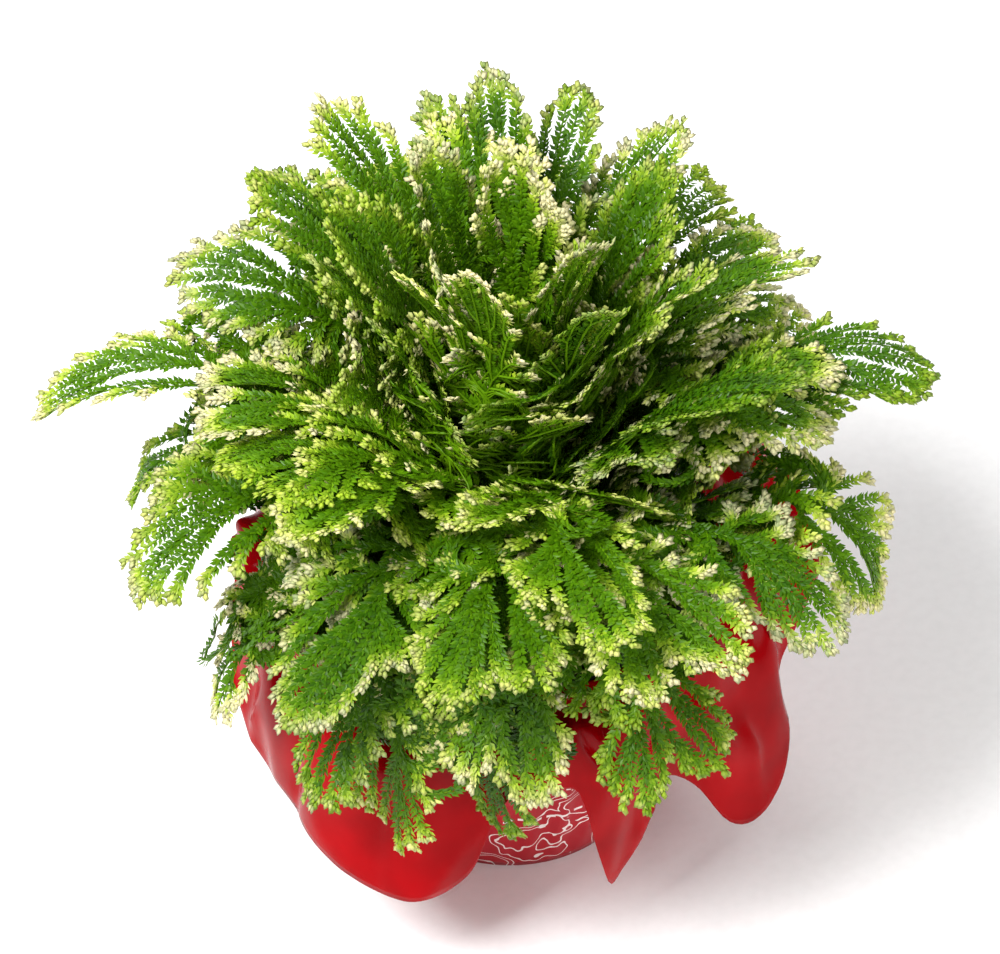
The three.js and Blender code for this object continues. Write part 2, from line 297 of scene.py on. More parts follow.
def cover_place(turn, row):
    """row is 0 to 1 on the base, 1 to 2 up the cup and 2 to 3 along the skirt."""
    outward = np.array([math.cos(turn), math.sin(turn), 0])
    pleat = abs(math.sin(17 * turn + 0.8 * math.sin(3 * turn))) ** 3
    if row <= 1:
        return outward * base_radius * row + np.array([0, 0, FILM_GAUGE])
    if row <= 2:
        up = row - 1
        height = FILM_GAUGE + up * (rim_height - FILM_GAUGE)
        radius = base_radius + (rim_radius - base_radius) * min(1, height / neck_height)
        return outward * (radius + 1.6 * MM * pleat * math.sin(math.pi * up)) + np.array([0, 0, height])
    along = row - 2
    point = skirt_place(turn, along)
    billow = 0.35 - abs(noise.noise(Vector(point) * 28)) * 1.6
    flutter = math.sin(9 * turn + 2.5 * math.sin(2 * turn)) * along**2
    swell = (2.6 * billow + folds(turn, along) + 0.8 * flutter) * MM * min(1, 3 * along)
    return point + (outward * 0.7 + np.array([0, 0, 0.7])) * swell


# %% Make the sheet
COVER_TURNS, COVER_ROWS = 360, 120


def sheet_grid(name, columns, rows, place):
    """A closed ring of grid faces, with every vertex put at place(turn, row from 0 to 1)."""
    form = bmesh.new()
    form.loops.layers.uv.new("UVMap")
    bmesh.ops.create_grid(form, x_segments=columns, y_segments=rows, size=1, calc_uvs=True)
    for vertex in form.verts:
        turn, row = (vertex.co.x + 1) * math.pi, (vertex.co.y + 1) / 2
        vertex.co = Vector(place(turn, row))
    bmesh.ops.remove_doubles(form, verts=form.verts, dist=1e-6)
    bmesh.ops.recalc_face_normals(form, faces=form.faces)
    mesh = bpy.data.meshes.new(name)
    form.to_mesh(mesh)
    form.free()
    mesh.shade_smooth()
    piece = bpy.data.objects.new(name, mesh)
    bpy.context.collection.objects.link(piece)
    return piece


cover = sheet_grid("film_cover", COVER_TURNS, COVER_ROWS, lambda turn, row: cover_place(turn, 3 * row))
film_thickness = cover.modifiers.new("film_thickness", "SOLIDIFY")
film_thickness.thickness = FILM_GAUGE
film_thickness.offset = 0
film_thickness.material_offset = 1
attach(cover, "root")
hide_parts("cover_cup", "cover_skirt")

# %% [markdown]
# ## Printed polypropylene film
# The film is dyed red right through, so its plain side is a deep glossy red. The other side has a pattern
# of thin pale outlines printed on it: wavy loops one inside the other, and two rows of stitches round the
# cup. The pattern follows the sheet's own map, which is scaled to millimetres. Loops are lines at two
# distances from scattered points, and the lines are about 1 mm wide so that they show.

# %% Film materials
film_plain, plain_shader = new_material("red_polypropylene_film", Roughness=0.2, Specular_IOR_Level=0.06)
plain_coordinates = add_node(film_plain, "ShaderNodeTexCoord").outputs["Object"]
dye = add_node(film_plain, "ShaderNodeTexNoise", Vector=plain_coordinates, Scale=60.0, Detail=3.0)
dye_colour = colour_ramp(film_plain, dye.outputs["Fac"], (0.3, "#8a0005"), (0.7, "#a60109"))
link(film_plain, dye_colour, plain_shader.inputs["Base Color"])
handling = add_node(film_plain, "ShaderNodeTexNoise", Vector=plain_coordinates, Scale=140.0, Detail=4.0)
handling_bump = add_node(film_plain, "ShaderNodeBump", Height=handling.outputs["Fac"], Strength=0.12,
                         Distance=0.4 * MM)
link(film_plain, handling_bump.outputs["Normal"], plain_shader.inputs["Normal"])

# %% The printed side
film_print, print_shader = new_material("printed_polypropylene_film", Roughness=0.3, Specular_IOR_Level=0.1)
MM_ROUND_CUP, MM_OUT_TO_EDGE = 300.0, 285.0
LOOPS_PER_MM = 0.045  # a group of loops about every 22 mm
print_map = add_node(film_print, "ShaderNodeUVMap", {"uv_map": "UVMap"}).outputs["UV"]
print_mm = add_node(film_print, "ShaderNodeMapping", Vector=print_map,
                    Scale=(MM_ROUND_CUP, MM_OUT_TO_EDGE, 1.0)).outputs["Vector"]
wobble = add_node(film_print, "ShaderNodeTexNoise", {"noise_dimensions": "2D"}, Vector=print_mm, Scale=0.06)
print_wobbled = add_node(film_print, "ShaderNodeVectorMath", {"operation": "MULTIPLY_ADD"},
                         _0=wobble.outputs["Color"], _1=(34, 34, 0), _2=print_mm).outputs[0]
loops = add_node(film_print, "ShaderNodeTexVoronoi", {"voronoi_dimensions": "2D"}, Vector=print_wobbled,
                 Scale=LOOPS_PER_MM).outputs["Distance"]


def drawn_where(value, at, half_width):
    return add_node(film_print, "ShaderNodeMath", {"operation": "COMPARE"},
                    _0=value, _1=at, _2=half_width).outputs[0]


def together(operation, first, second):
    return add_node(film_print, "ShaderNodeMath", {"operation": operation}, _0=first, _1=second).outputs[0]


loop_lines = together("MAXIMUM", drawn_where(loops, 0.40, 0.016), drawn_where(loops, 0.24, 0.016))
print_axes = add_node(film_print, "ShaderNodeSeparateXYZ", Vector=print_mm)
stitch_rows = together("MAXIMUM", drawn_where(print_axes.outputs["Y"], 138.0, 0.6),
                       drawn_where(print_axes.outputs["Y"], 122.0, 0.6))
stitch_on = together("LESS_THAN", together("PINGPONG", print_axes.outputs["X"], 2.2), 1.4)
ink = together("MAXIMUM", loop_lines, together("MULTIPLY", stitch_rows, stitch_on))
print_colour = colour_ramp(film_print, ink, (0.0, "#b0202a"), (1.0, "#f6e9e4"))
link(film_print, print_colour, print_shader.inputs["Base Color"])
cover.data.materials.append(film_plain)
cover.data.materials.append(film_print)

# %% [markdown]
# ## The grower's pot
# The pot is vacuum-formed black polypropylene, matt with a faint orange-peel skin. Its CAD solid has the
# right shape, rolled rim and drain holes included, so it only gets a finish.

# %% Pot material
pot_plastic, pot_shader = new_material("vacuum_formed_polypropylene", Roughness=0.5, IOR=1.49)
pot_coordinates = add_node(pot_plastic, "ShaderNodeTexCoord").outputs["Object"]
skin = add_node(pot_plastic, "ShaderNodeTexNoise", Vector=pot_coordinates, Scale=900.0).outputs["Fac"]
skin_colour = colour_ramp(pot_plastic, skin, (0.3, "#191b18"), (0.7, "#262824"))
link(pot_plastic, skin_colour, pot_shader.inputs["Base Color"])
skin_bump = add_node(pot_plastic, "ShaderNodeBump", Height=skin, Strength=0.2, Distance=0.2 * MM)
link(pot_plastic, skin_bump.outputs["Normal"], pot_shader.inputs["Normal"])
for slot in frame["nodes"]["nursery_pot"].material_slots:
    slot.material = pot_plastic

# %% [markdown]
# ## Potting soil
# The soil is peat with bits of white perlite. The same kind of grid as the cover's is laid over the CAD
# soil, and noise raises crumbs on its top. The perlite is seventy small lumps that lie on it.

# %% Make the soil
soil_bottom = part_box("potting_soil")[0][2]
soil_foot_radius = 35.5 * MM
FOOT_SHARE = 0.15  # of the rows, and as much again for the side


def soil_place(turn, row):
    outward = Vector((math.cos(turn), math.sin(turn), 0))
    if row < FOOT_SHARE:
        return outward * soil_foot_radius * (row / FOOT_SHARE) + Vector((0, 0, soil_bottom))
    if row < 2 * FOOT_SHARE:
        up = (row - FOOT_SHARE) / FOOT_SHARE
        return (outward * (soil_foot_radius + (soil_radius - soil_foot_radius) * up)
                + Vector((0, 0, soil_bottom + (soil_top - soil_bottom) * up)))
    inward = (row - 2 * FOOT_SHARE) / (1 - 2 * FOOT_SHARE)
    spot = outward * soil_radius * (1 - inward)
    crumbs = abs(noise.noise(spot * 300)) * 2.2 + noise.noise(spot * 90) * 1.5
    return spot + Vector((0, 0, soil_top + crumbs * MM * min(1, 6 * inward)))


soil = sheet_grid("potting_mix", 160, 90, soil_place)
soil_form = bmesh.new()
soil_form.from_mesh(soil.data)
dice = random.Random(5)
PERLITE_LUMPS = 70
for _ in range(PERLITE_LUMPS):
    turn, away = dice.uniform(0, 2 * math.pi), soil_radius * math.sqrt(dice.random()) * 0.95
    lump = bmesh.ops.create_icosphere(soil_form, subdivisions=1, radius=dice.uniform(0.7, 1.5) * MM)["verts"]
    for vertex in lump:
        vertex.co *= dice.uniform(0.75, 1.2)
    middle = Vector((away * math.cos(turn), away * math.sin(turn), soil_top + 0.9 * MM))
    bmesh.ops.translate(soil_form, verts=lump, vec=middle)
    for face in {face for vertex in lump for face in vertex.link_faces}:
        face.material_index = 1
soil_form.to_mesh(soil.data)
soil_form.free()
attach(soil, "root")
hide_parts("potting_soil")
print("soil:", len(soil.data.polygons), "faces with", PERLITE_LUMPS, "lumps of perlite")

# %% [markdown]
# ## Peat and perlite
# Damp peat is matt and dark brown, with paler fibres and crumbs about 1.5 mm across. Perlite is glass that
# was puffed up with heat, so it is white, matt and full of tiny pits.

# %% Soil materials
peat, peat_shader = new_material("damp_peat", Roughness=0.9)
peat_coordinates = add_node(peat, "ShaderNodeTexCoord").outputs["Object"]
crumb = add_node(peat, "ShaderNodeTexVoronoi", Vector=peat_coordinates, Scale=700.0)
fibre = add_node(peat, "ShaderNodeTexNoise", Vector=peat_coordinates, Scale=500.0, Detail=5.0)
peat_colour = colour_ramp(peat, fibre.outputs["Fac"],
                          (0.3, "#170f0a"), (0.55, "#33231a"), (0.75, "#54402f"))
link(peat, peat_colour, peat_shader.inputs["Base Color"])
crumb_bump = add_node(peat, "ShaderNodeBump", Height=crumb.outputs["Distance"], Strength=0.6,
                      Distance=0.8 * MM)
link(peat, crumb_bump.outputs["Normal"], peat_shader.inputs["Normal"])

perlite, perlite_shader = new_material("perlite", Roughness=0.85)
perlite_coordinates = add_node(perlite, "ShaderNodeTexCoord").outputs["Object"]
pits = add_node(perlite, "ShaderNodeTexNoise", Vector=perlite_coordinates, Scale=1500.0).outputs["Fac"]
perlite_colour = colour_ramp(perlite, pits, (0.3, "#bdb8ac"), (0.6, "#f0eee6"))
link(perlite, perlite_colour, perlite_shader.inputs["Base Color"])
soil.data.materials.append(peat)
soil.data.materials.append(perlite)

# %% [markdown]
# ## Aerial roots
# Spikemoss lets down thin straight tan roots from its forks. Some reach over the rim on to the skirt.
# A Blender curve with a round bevel follows the middle of each CAD root, a little uneven as roots are.

# %% Roots
root_skin, root_shader = new_material("root_skin", Roughness=0.5)
root_coordinates = add_node(root_skin, "ShaderNodeTexCoord").outputs["Object"]
root_age = add_node(root_skin, "ShaderNodeTexNoise", Vector=root_coordinates, Scale=220.0).outputs["Fac"]
root_colour = colour_ramp(root_skin, root_age, (0.3, "#9a7440"), (0.7, "#d3b071"))
link(root_skin, root_colour, root_shader.inputs["Base Color"])


def tube_mesh(name, paths, sides=0):
    """One mesh of round tubes along paths, each a list of (place, radius)."""
    curve = bpy.data.curves.new(name, "CURVE")
    curve.dimensions = "3D"
    curve.bevel_depth = 1.0
    curve.bevel_resolution = sides
    curve.use_fill_caps = True
    for path in paths:
        spline = curve.splines.new("POLY")
        spline.points.add(len(path) - 1)
        for (place, radius), point in zip(path, spline.points):
            point.co = (*place, 1)
            point.radius = radius
    carrier = bpy.data.objects.new(name, curve)
    bpy.context.collection.objects.link(carrier)
    mesh = bpy.data.meshes.new_from_object(carrier)
    bpy.data.objects.remove(carrier)
    return mesh


noise.seed_set(1)  # noise_vector takes its seed from the clock unless it is given one
for number in range(1, 5):
    node = f"aerial_root_{number}"
    form = merged_copy(node)
    rings = rings_of(form, lambda co: co.z < soil_top + 2.2 * MM and math.hypot(co.x, co.y) < 48 * MM)
    form.free()
    centres = np.array([sum(ring, Vector()) / len(ring) for ring in rings])
    places = np.linspace(0, len(centres) - 1, 41)
    line = np.column_stack([smooth_samples(centres[:, axis], places) for axis in range(3)])
    path = [(Vector(place) + 0.12 * MM * noise.noise_vector(Vector(place) * 200), (0.52 - 0.004 * k) * MM)
            for k, place in enumerate(line)]
    root = bpy.data.objects.new(node + "_skin", tube_mesh(node + "_skin", [path], 2))
    bpy.context.collection.objects.link(root)
    root.data.materials.append(root_skin)
    root.data.shade_smooth()
    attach(root, "root")
    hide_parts(node)

# %% [markdown]
# ## The frond's surface
# Each frond lies on a curved blade: the stem arches up and out from the soil, and the blade is cupped
# round it. Two numbers give a place on the flat pattern of a frond, how far along the stem and how far to
# the side. The blade's rings give the rest, so a pattern drawn flat can be laid on the curved frond.

# %% Read the blades
BLADE_CUP = 22 * MM  # a blade is cupped to its distance from the pot's axis plus this
CROWN_RADIUS = 46 * MM  # the fronds grow from the soil within this
FOOT_HEIGHT = 2.8 * MM  # a blade's first ring is lower than this above the soil


def is_blade_foot(co):
    return co.z < soil_top + FOOT_HEIGHT and math.hypot(co.x, co.y) < CROWN_RADIUS


class Blade:
    """One frond's curved blade, read back from the rings of its CAD solid."""

    def __init__(self, node):
        form = merged_copy(node)
        rings = rings_of(form, is_blade_foot)
        form.free()
        foot = sum(rings[0], Vector()) / len(rings[0])
        self.turn = math.atan2(foot.y, foot.x)
        unturn = Matrix.Rotation(-self.turn, 3, "Z")
        out, up, left, right = [], [], [], []
        for ring in rings[:-1]:
            local = sorted((unturn @ point for point in ring), key=lambda point: point.y)
            cups = [math.hypot(edge.y, edge.x + BLADE_CUP) for edge in (local[0], local[-1])]
            out.append(sum(cups) / 2 - BLADE_CUP)
            up.append((local[0].z + local[-1].z) / 2)
            right.append(math.atan2(local[0].y, local[0].x + BLADE_CUP) * cups[0])
            left.append(math.atan2(local[-1].y, local[-1].x + BLADE_CUP) * cups[1])
        self.out, self.up = np.array(out), np.array(up)
        self.left, self.right = np.array(left), np.array(right)
        self.stations = len(out) - 1
        steps = np.hypot(np.diff(self.out), np.diff(self.up))
        self.length = float(steps.sum())

    def place(self, along, across, height):
        """Points in space for places on the flat pattern, each as high above the blade as height says."""
        station = along / self.length * self.stations
        out, up = smooth_samples(self.out, station), smooth_samples(self.up, station)
        inside = np.clip(station, 0.1, self.stations - 0.1)
        ahead = smooth_samples(self.out, inside + 0.1), smooth_samples(self.up, inside + 0.1)
        behind = smooth_samples(self.out, inside - 0.1), smooth_samples(self.up, inside - 0.1)
        lean = np.arctan2(ahead[0] - behind[0], ahead[1] - behind[1])
        # beyond the last station the stem goes straight on
        beyond = np.maximum(0, along - self.length)
        out, up = out + beyond * np.sin(lean), up + beyond * np.cos(lean)
        cup = out + BLADE_CUP
        turned = across / cup
        inward = np.cos(lean)
        facing = np.stack([-np.cos(turned) * inward, -np.sin(turned) * inward, np.sin(lean)], -1)
        point = np.stack([out - cup * (1 - np.cos(turned)), cup * np.sin(turned), up], -1)
        point = point + facing * np.asarray(height)[..., None]
        return point @ np.array(Matrix.Rotation(self.turn, 3, "Z")).T


frond_names = sorted(name for name in frame["nodes"] if name.startswith("frond"))
blades = {name: Blade(name) for name in frond_names}
print(len(blades), "blades,", round(1000 * min(b.length for b in blades.values())), "to",
      round(1000 * max(b.length for b in blades.values())), "mm long")

# %% [markdown]
# ## How a frond branches
# A spikemoss frond forks again and again in one plane, and the forks fill a fan evenly. To grow a fan,
# each branchlet is given a slice of the fan. It heads for the middle of its slice, and where the slice has
# become wide enough for two branchlets, one forks off to the side with the smaller part. The branchlets
# end at the fan's rounded edge.

# %% Grow a fan
LEAF_STEP = 1.3 * MM
BRANCHLET_GAP = 2.75 * MM
FAN_SPREAD = math.radians(76)  # to each side of the fan's middle
LONGEST_PATH = 90  # steps
BEND_AFTER_FORK, BEND_LATER = math.radians(7), math.radians(13)  # the most in one step


def grow_fan(base, heading, reach, half_width, rng):
    """Branchlets, each a list of (point, heading) on the flat pattern."""
    slenderness = reach / (2 * half_width)
    lobes, phase = rng.choice((3, 3.5, 4, 4.5)), rng.uniform(0, 3.1)

    def edge_distance(angle):
        cosine, sine = math.cos(angle), math.sin(angle)
        round_edge = reach * cosine / (cosine**2 + (slenderness * sine) ** 2)
        return round_edge * (0.70 + 0.33 * abs(math.cos(lobes * angle + phase)))

    branchlets = []
    waiting = [(base, heading, -FAN_SPREAD, FAN_SPREAD, rng.choice((-1, 1)))]
    while waiting:
        point, direction, low, high, side = waiting.pop()
        path = [(point, direction)]
        since_fork = 0
        while True:
            middle = (low + high) / 2
            goal_distance = edge_distance(middle)
            goal = (base[0] + goal_distance * math.cos(heading + middle),
                    base[1] + goal_distance * math.sin(heading + middle))
            away = (goal[0] - point[0], goal[1] - point[1])
            left_to_go = math.hypot(*away)
            if left_to_go < 1.3 * LEAF_STEP or len(path) > LONGEST_PATH:
                break
            wanted = math.atan2(away[1], away[0])
            turn = (wanted - direction + math.pi) % (2 * math.pi) - math.pi
            limit = BEND_AFTER_FORK if since_fork < 5 else BEND_LATER
            direction += max(-limit, min(limit, turn)) + rng.gauss(0, 0.025)
            point = (point[0] + LEAF_STEP * math.cos(direction), point[1] + LEAF_STEP * math.sin(direction))
            path.append((point, direction))
            since_fork += 1
            radius = math.hypot(point[0] - base[0], point[1] - base[1])
            wide = radius * (high - low)
            wide_enough = wide > rng.uniform(1.5, 1.9) * BRANCHLET_GAP
            if wide_enough and since_fork > 2 and left_to_go > 3 * LEAF_STEP:
                share = rng.uniform(0.36, 0.48) * (high - low)
                fork_angle = math.radians(rng.uniform(26, 38))
                if side > 0:
                    waiting.append((point, direction + fork_angle, high - share, high, side))
                    high -= share
                else:
                    waiting.append((point, direction - fork_angle, low, low + share, side))
                    low += share
                side = -side
                since_fork = 0
        if len(path) > 3:
            branchlets.append(path)
            for lobe_side in (-1, 1):
                branchlets.append(end_lobe(path, lobe_side, rng))
    return branchlets


def end_lobe(path, side, rng):
    """A short shoot beside a branchlet's tip: the tips end in little hands of three."""
    (x, y), direction = path[-rng.choice((2, 3, 4))]
    direction += side * math.radians(rng.uniform(28, 42))
    lobe = [((x, y), direction)]
    for _ in range(rng.choice((2, 2, 3))):
        direction -= side * math.radians(12)
        x, y = x + LEAF_STEP * math.cos(direction), y + LEAF_STEP * math.sin(direction)
        lobe.append(((x, y), direction))
    return lobe


# %% [markdown]
# ## The scale leaf
# A spikemoss leaf is a thin scale, about 2.5 mm long, with a raised midrib. A three-sided cone has just the
# four corners that such a leaf needs: foot, left, right and tip. With over a hundred thousand leaves, that
# is worth a lot. The leaves that crowd at a branchlet's tip are blunt and plump like buds, so they are made
# from a sphere with five sides and two rows of faces.

# %% Shape the leaves
def leaf_shape(form):
    bmesh.ops.recalc_face_normals(form, faces=form.faces)
    bmesh.ops.triangulate(form, faces=form.faces)
    form.verts.ensure_lookup_table()
    points = np.array([vertex.co[:] for vertex in form.verts])
    faces = np.array([[vertex.index for vertex in face.verts] for face in form.faces])
    form.free()
    print("leaf:", len(points), "points,", len(faces), "faces")
    return points, faces


scale_form = bmesh.new()
bmesh.ops.create_cone(scale_form, cap_ends=True, segments=3, radius1=1, radius2=0, depth=1)
corners = sorted(scale_form.verts, key=lambda vertex: (-vertex.co.z, -vertex.co.y))
tip, foot, left_side, right_side = (0, 1, 0.0), (0, 0, 0.06), (0.25, 0.42, -0.05), (-0.25, 0.42, -0.05)
for vertex, place in zip(corners, (tip, foot, left_side, right_side)):
    vertex.co = Vector(place)
scale_leaf = leaf_shape(scale_form)

bud_form = bmesh.new()
bmesh.ops.create_uvsphere(bud_form, u_segments=5, v_segments=2, radius=1)
bmesh.ops.rotate(bud_form, verts=bud_form.verts, matrix=Matrix.Rotation(-math.pi / 2, 3, "Z"))
for vertex in bud_form.verts:
    middle = abs(vertex.co.z) > 0.5
    along = 0.5 if middle else (vertex.co.y + 1) / 1.81
    hump = 0.08 if middle else -0.04 * along
    vertex.co = Vector((vertex.co.x * 0.34, along, vertex.co.z * 0.10 + hump))
bud_leaf = leaf_shape(bud_form)

# %% [markdown]
# ## Dress a frond
# A branchlet carries its leaves in ranks. The leaves of the two outer ranks are larger and stick out to the
# sides like the barbs of a feather, and those on top are small, lie flat on the stem and point forward.
# Deep inside the plant nobody sees the leaves, so they get fewer there, and none near the middle.

# %% Places for leaves
DOME_CENTRE = 132 * MM
DOME_RADII = np.array([119, 119, 94]) * MM
BARE_DEPTH = 0.06  # deeper inside than this there are no leaves
UPPER_RANK_DEPTH = 0.22  # and deeper than this, none on top of the branchlets


def depth_in_plant(places):
    """1 on the outside of the plant's dome, and 0 in its middle."""
    return (((places - np.array([0, 0, DOME_CENTRE])) / DOME_RADII) ** 2).sum(axis=1)


def unit(vectors):
    return vectors / np.linalg.norm(vectors, axis=1, keepdims=True)


def branchlet_nodes(branchlets, dice):
    """A row for each place with leaves: along, across, heading, distance to the tip, luck and parity."""
    rows = []
    for path in branchlets:
        points = np.array([[p[0], p[1], d] for p, d in path])
        count = len(points)
        to_tip = np.arange(count)[::-1] * LEAF_STEP
        luck = np.full(count, dice.uniform(0.6, 1.05))
        rows.append(np.column_stack([points, to_tip, luck, np.arange(count) % 2]))
    return np.concatenate(rows)


def stem_axes(blade, nodes, lift):
    """Where each node is, and which ways are forward along the stem, to its side and up from it."""
    along, across, heading = nodes[:, 0], nodes[:, 1], nodes[:, 2]
    centre = blade.place(along, across, lift(along, across))
    step_along, step_across = along + MM * np.cos(heading), across + MM * np.sin(heading)
    ahead = blade.place(step_along, step_across, lift(step_along, step_across))
    beside_along, beside_across = along - MM * np.sin(heading), across + MM * np.cos(heading)
    beside = blade.place(beside_along, beside_across, lift(beside_along, beside_across))
    forward = unit(ahead - centre)
    up = unit(np.cross(forward, beside - centre))
    return centre, forward, np.cross(up, forward), up


# %% Place one rank of leaves
# For a rank: a leaf's length in mm, its spread from the stem, how much less it spreads at a tip, its tilt
# and its roll in degrees, and how many mm it starts above the stem's middle.
SIDE_RANK = (2.75, 50, 28, 12, -14, 0.1)
UPPER_RANK = (2.1, 14, 4, 16, -10, 0.4)


def rank_of_leaves(settings, hand, axes, to_tip, is_bud, dice):
    """Each leaf's foot and its frame of width, length and thickness, for one rank."""
    mm_long, spread_by, less_at_tip, tilt_by, roll_by, above = settings
    centre, forward, side, up = axes
    count = len(hand)
    near_tip = np.clip(1.2 - to_tip / (3.5 * LEAF_STEP), 0, 1)
    length = mm_long * MM * dice.uniform(0.88, 1.12, count)
    length = length * np.where(is_bud, 0.95, 1 - 0.15 * near_tip)
    spread = np.radians(spread_by) - np.radians(less_at_tip) * near_tip + dice.normal(0, 0.08, count)
    tilt = np.radians(tilt_by) + dice.normal(0, 0.12, count)
    roll = hand * np.radians(roll_by) + dice.normal(0, 0.15, count)
    length_way = np.cos(spread)[:, None] * forward + (np.sin(spread) * hand)[:, None] * side
    length_way = np.cos(tilt)[:, None] * length_way + np.sin(tilt)[:, None] * up
    width_way = unit(np.cross(length_way, up))
    thick_way = np.cross(width_way, length_way)
    width_turned = np.cos(roll)[:, None] * width_way + np.sin(roll)[:, None] * thick_way
    thick_turned = np.cross(width_turned, length_way)
    start = centre + forward * (hand * 0.25 * LEAF_STEP)[:, None] + up * above * MM
    return start, np.stack([width_turned, length_way, thick_turned], axis=1) * length[:, None, None]


# %% Dress branchlets
FROST_REACH = 11 * MM  # how far back from a tip the green turns yellow


def dress(blade, branchlets, lift, frost, dice):
    """The leaves as [(points, tipness)] for the scale leaves and for the buds."""
    leaves = {"scale": [], "bud": []}
    nodes = branchlet_nodes(branchlets, dice)
    centre = blade.place(nodes[:, 0], nodes[:, 1], np.zeros(len(nodes)))
    nodes = nodes[depth_in_plant(centre) > BARE_DEPTH]
    if not len(nodes):
        return leaves
    axes = stem_axes(blade, nodes, lift)
    to_tip, luck, parity = nodes[:, 3], nodes[:, 4], nodes[:, 5]
    is_bud = to_tip < 0.5 * LEAF_STEP
    count = len(nodes)
    everywhere = np.ones(count, bool)
    not_deep = depth_in_plant(axes[0]) > UPPER_RANK_DEPTH
    ranks = ((SIDE_RANK, np.full(count, 1.0), everywhere), (SIDE_RANK, np.full(count, -1.0), everywhere),
             (UPPER_RANK, np.where(parity > 0, 1.0, -1.0), not_deep))
    for settings, hand, kept in ranks:
        start, frames = rank_of_leaves(settings, hand, axes, to_tip, is_bud, dice)
        tipness = np.clip(1 - to_tip / FROST_REACH, 0, 1) ** 1.5 * frost * luck + dice.normal(0, 0.03, count)
        for kind, shape, of_kind in (("scale", scale_leaf, ~is_bud), ("bud", bud_leaf, is_bud)):
            chosen = kept & of_kind
            placed = start[chosen][:, None, :] + shape[0][None] @ frames[chosen]
            leaves[kind].append((placed, tipness[chosen]))
    return leaves


# %% [markdown]
# ## One whole frond
# The stem carries fans to the left and right in turn, and ends in one more. No two fans lie quite in one
# plane: each has its own twist and pitch, its edge is rippled, and its tips nod a little.

# %% Lay out a frond
# Each side fan's place along the stem, its side, its reach and how many mm it lies above the blade.
SIDE_FANS = ((0.27, 1, 0.27, 2.5), (0.36, -1, 0.29, -2.0), (0.46, 1, 0.30, -2.5), (0.55, -1, 0.28, 2.5))
END_FAN_PLACE, END_FAN_REACH = 0.60, 0.42  # of the stem's length
END_FAN_WIDTH, SIDE_FAN_WIDTH = 0.95, 0.62  # of the blade's width


def fan_lift(base, axis, reach, lifted, rng, twist_by):
    """How far above the blade a fan's places lie."""
    twist, pitch = rng.gauss(0, twist_by), rng.gauss(0, 0.12)
    wave, nod = rng.uniform(0, 6.3), rng.uniform(2, 7) * MM

    def lift(along, across):
        ahead = (along - base[0]) * math.cos(axis) + (across - base[1]) * math.sin(axis)
        beside = (across - base[1]) * math.cos(axis) - (along - base[0]) * math.sin(axis)
        gone = np.clip(np.hypot(ahead, beside) / reach, 0, 1.2)
        ripple = 1.7 * MM * np.sin(beside / (3.2 * MM) + wave) * gone
        return lifted * np.minimum(1, 2 * gone) + twist * beside + pitch * ahead + ripple - nod * gone**2

    return lift


def frond_piece(name, index):
    """One frond's leaves, its stems as (path, lift), its hue and its own random source."""
    rng = random.Random(1000 + index)
    dice = np.random.default_rng(7000 + index)
    blade = blades[name]
    length = blade.length
    fan_half = float(max((blade.left - blade.right)[-5:])) / 2
    bend = float(blade.left[-3] + blade.right[-3]) / 2
    frost, hue = rng.uniform(0.55, 1.15), rng.uniform(0.2, 0.75)
    end_heading = math.atan2(bend, length) * 1.2
    fans = [(END_FAN_PLACE, bend, end_heading, END_FAN_REACH, 0.0, END_FAN_WIDTH, 0.2)]
    for place, side, reach, lifted in SIDE_FANS:
        heading = math.radians(side * rng.uniform(38, 52))
        fans.append((place, 0.0, heading, reach, lifted, SIDE_FAN_WIDTH, 0.35))
    trunk = [((0.02 * length + k * LEAF_STEP, 0.15 * bend * min(1, k / 50)), 0.0)
             for k in range(int(END_FAN_PLACE * length / LEAF_STEP))]
    stems = [(np.array([point for point, _ in trunk]), lambda along, across: np.zeros_like(along))]
    leaves = dress(blade, [trunk], stems[0][1], 0.0, dice)
    for place, offset, heading, reach, lifted, width, twist_by in fans:
        base = (place * length, 0.15 * offset)
        lift = fan_lift(base, heading, reach * length, lifted * MM, rng, twist_by)
        branchlets = grow_fan(base, heading, reach * length, width * fan_half, rng)
        stems += [(np.array([point for point, _ in path]), lift) for path in branchlets]
        for kind, groups in dress(blade, branchlets, lift, frost * rng.uniform(0.7, 1.15), dice).items():
            leaves[kind] += groups
    return leaves, stems, hue, dice


def leaf_mesh(name, shape, groups, hue, dice):
    """A frond's leaves of one shape as a mesh, with a map of how near a tip and how tinted each is."""
    points = np.concatenate([placed for placed, _ in groups])
    tipness = np.concatenate([tip for _, tip in groups])
    leaf_points, leaf_faces = shape
    count = len(points)
    corners = (leaf_faces[None] + (np.arange(count) * len(leaf_points))[:, None, None]).reshape(-1, 3)
    mesh = bpy.data.meshes.new(name)
    mesh.from_pydata(points.reshape(-1, 3), [], corners)
    lengthwise = leaf_points[leaf_faces.ravel(), 1]
    tint = hue + dice.uniform(-0.25, 0.25, count)
    u = np.repeat(tipness, len(lengthwise)) + 0.10 * np.tile(lengthwise, count)
    v = np.repeat(tint, len(lengthwise))
    layer = mesh.uv_layers.new(name="OFBake")
    layer.uv.foreach_set("vector", np.clip(np.column_stack([u, v]), 0.01, 0.99).ravel())
    mesh.polygons.foreach_set("use_smooth", np.full(len(mesh.polygons), len(leaf_faces) > 4))
    return mesh, count


# %% [markdown]
# ## Stems under the leaves
# A branchlet's stem is a thin green tube, thicker towards the soil. A Blender curve with a round bevel
# makes all of a frond's stems at once, and is then turned into a mesh and joined to the leaves.

# %% Stems
STEM_ON_MAP = (0.2, 0.7)  # stems take one light green from the leaves' colours


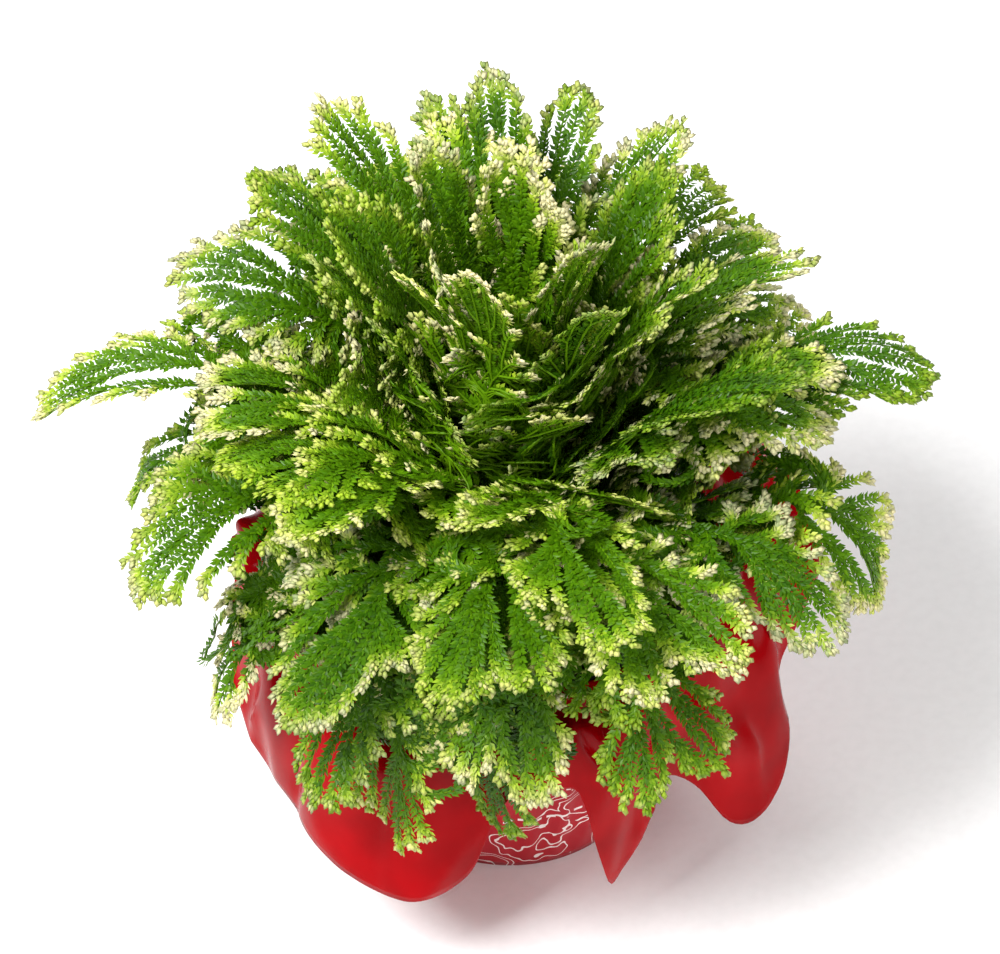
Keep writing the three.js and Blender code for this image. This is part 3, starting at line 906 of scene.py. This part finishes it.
def stem_mesh(name, blade, stems):
    curve = bpy.data.curves.new(name + "_stems", "CURVE")
    curve.dimensions = "3D"
    curve.bevel_depth = 1 * MM
    curve.bevel_resolution = 0
    curve.use_fill_caps = True
    for number, (path, lift) in enumerate(stems):
        thin = path if len(path) < 4 else np.vstack([path[:-1:3], path[-1:]])
        points = blade.place(thin[:, 0], thin[:, 1], lift(thin[:, 0], thin[:, 1]))
        thick, taper = (1.05, 0.45) if number == 0 else (0.42, 0.2)
        spline = curve.splines.new("POLY")
        spline.points.add(len(points) - 1)
        for k, (place, spot) in enumerate(zip(points, spline.points)):
            spot.co = (*place, 1)
            spot.radius = thick - taper * k / len(points)
    carrier = bpy.data.objects.new(name + "_stems", curve)
    bpy.context.collection.objects.link(carrier)
    mesh = bpy.data.meshes.new_from_object(carrier)
    bpy.data.objects.remove(carrier)
    for old_layer in list(mesh.uv_layers):
        mesh.uv_layers.remove(old_layer)
    layer = mesh.uv_layers.new(name="OFBake")
    layer.uv.foreach_set("vector", np.tile(STEM_ON_MAP, len(mesh.loops)))
    return mesh


# %% [markdown]
# ## Living leaf
# Spikemoss leaves are thin, smooth and a little shiny. The green goes yellow and then cream towards the
# tips of the branchlets. The U of the leaf's own map says how near a tip it is, and V is a random number
# for each leaf, so neighbours differ a little, as leaves do.

# %% Leaf material
leaf_green, leaf_shader = new_material("spikemoss_leaf", Roughness=0.38, Specular_IOR_Level=0.14)
leaf_map = add_node(leaf_green, "ShaderNodeUVMap", {"uv_map": "OFBake"}).outputs["UV"]
leaf_axes = add_node(leaf_green, "ShaderNodeSeparateXYZ", Vector=leaf_map)
leaf_colour = colour_ramp(leaf_green, leaf_axes.outputs["X"], (0.0, "#477605"), (0.24, "#6c9912"),
                          (0.44, "#adc93c"), (0.64, "#e0e294"), (0.82, "#f9eed6"))
leaf_shade = colour_ramp(leaf_green, leaf_axes.outputs["Y"], (0.0, "#86a078"), (0.5, "#cdd2b4"),
                         (1.0, "#fffdd8"))
leaf_tinted = add_node(leaf_green, "ShaderNodeMix", {"data_type": "RGBA", "blend_type": "MULTIPLY"},
                       _0=1.0, _6=leaf_colour, _7=leaf_shade).outputs[2]
link(leaf_green, leaf_tinted, leaf_shader.inputs["Base Color"])

# %% Build every frond
leaf_total = 0
for index, name in enumerate(frond_names):
    leaves, stems, hue, dice = frond_piece(name, index)
    whole = bmesh.new()
    for kind, shape in (("scale", scale_leaf), ("bud", bud_leaf)):
        mesh, count = leaf_mesh(name + "_" + kind, shape, leaves[kind], hue, dice)
        whole.from_mesh(mesh)
        bpy.data.meshes.remove(mesh)
        leaf_total += count
    whole.from_mesh(stem_mesh(name, blades[name], stems))
    spray = bpy.data.meshes.new(name + "_spray")
    whole.to_mesh(spray)
    whole.free()
    spray.materials.append(leaf_green)
    piece = bpy.data.objects.new(name + "_spray", spray)
    bpy.context.collection.objects.link(piece)
    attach(piece, "root")
    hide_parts(name)
faces = sum(len(thing.data.polygons) for thing in bpy.data.objects if thing.name.endswith("_spray"))
print(leaf_total, "leaves,", faces, "faces on the fronds")
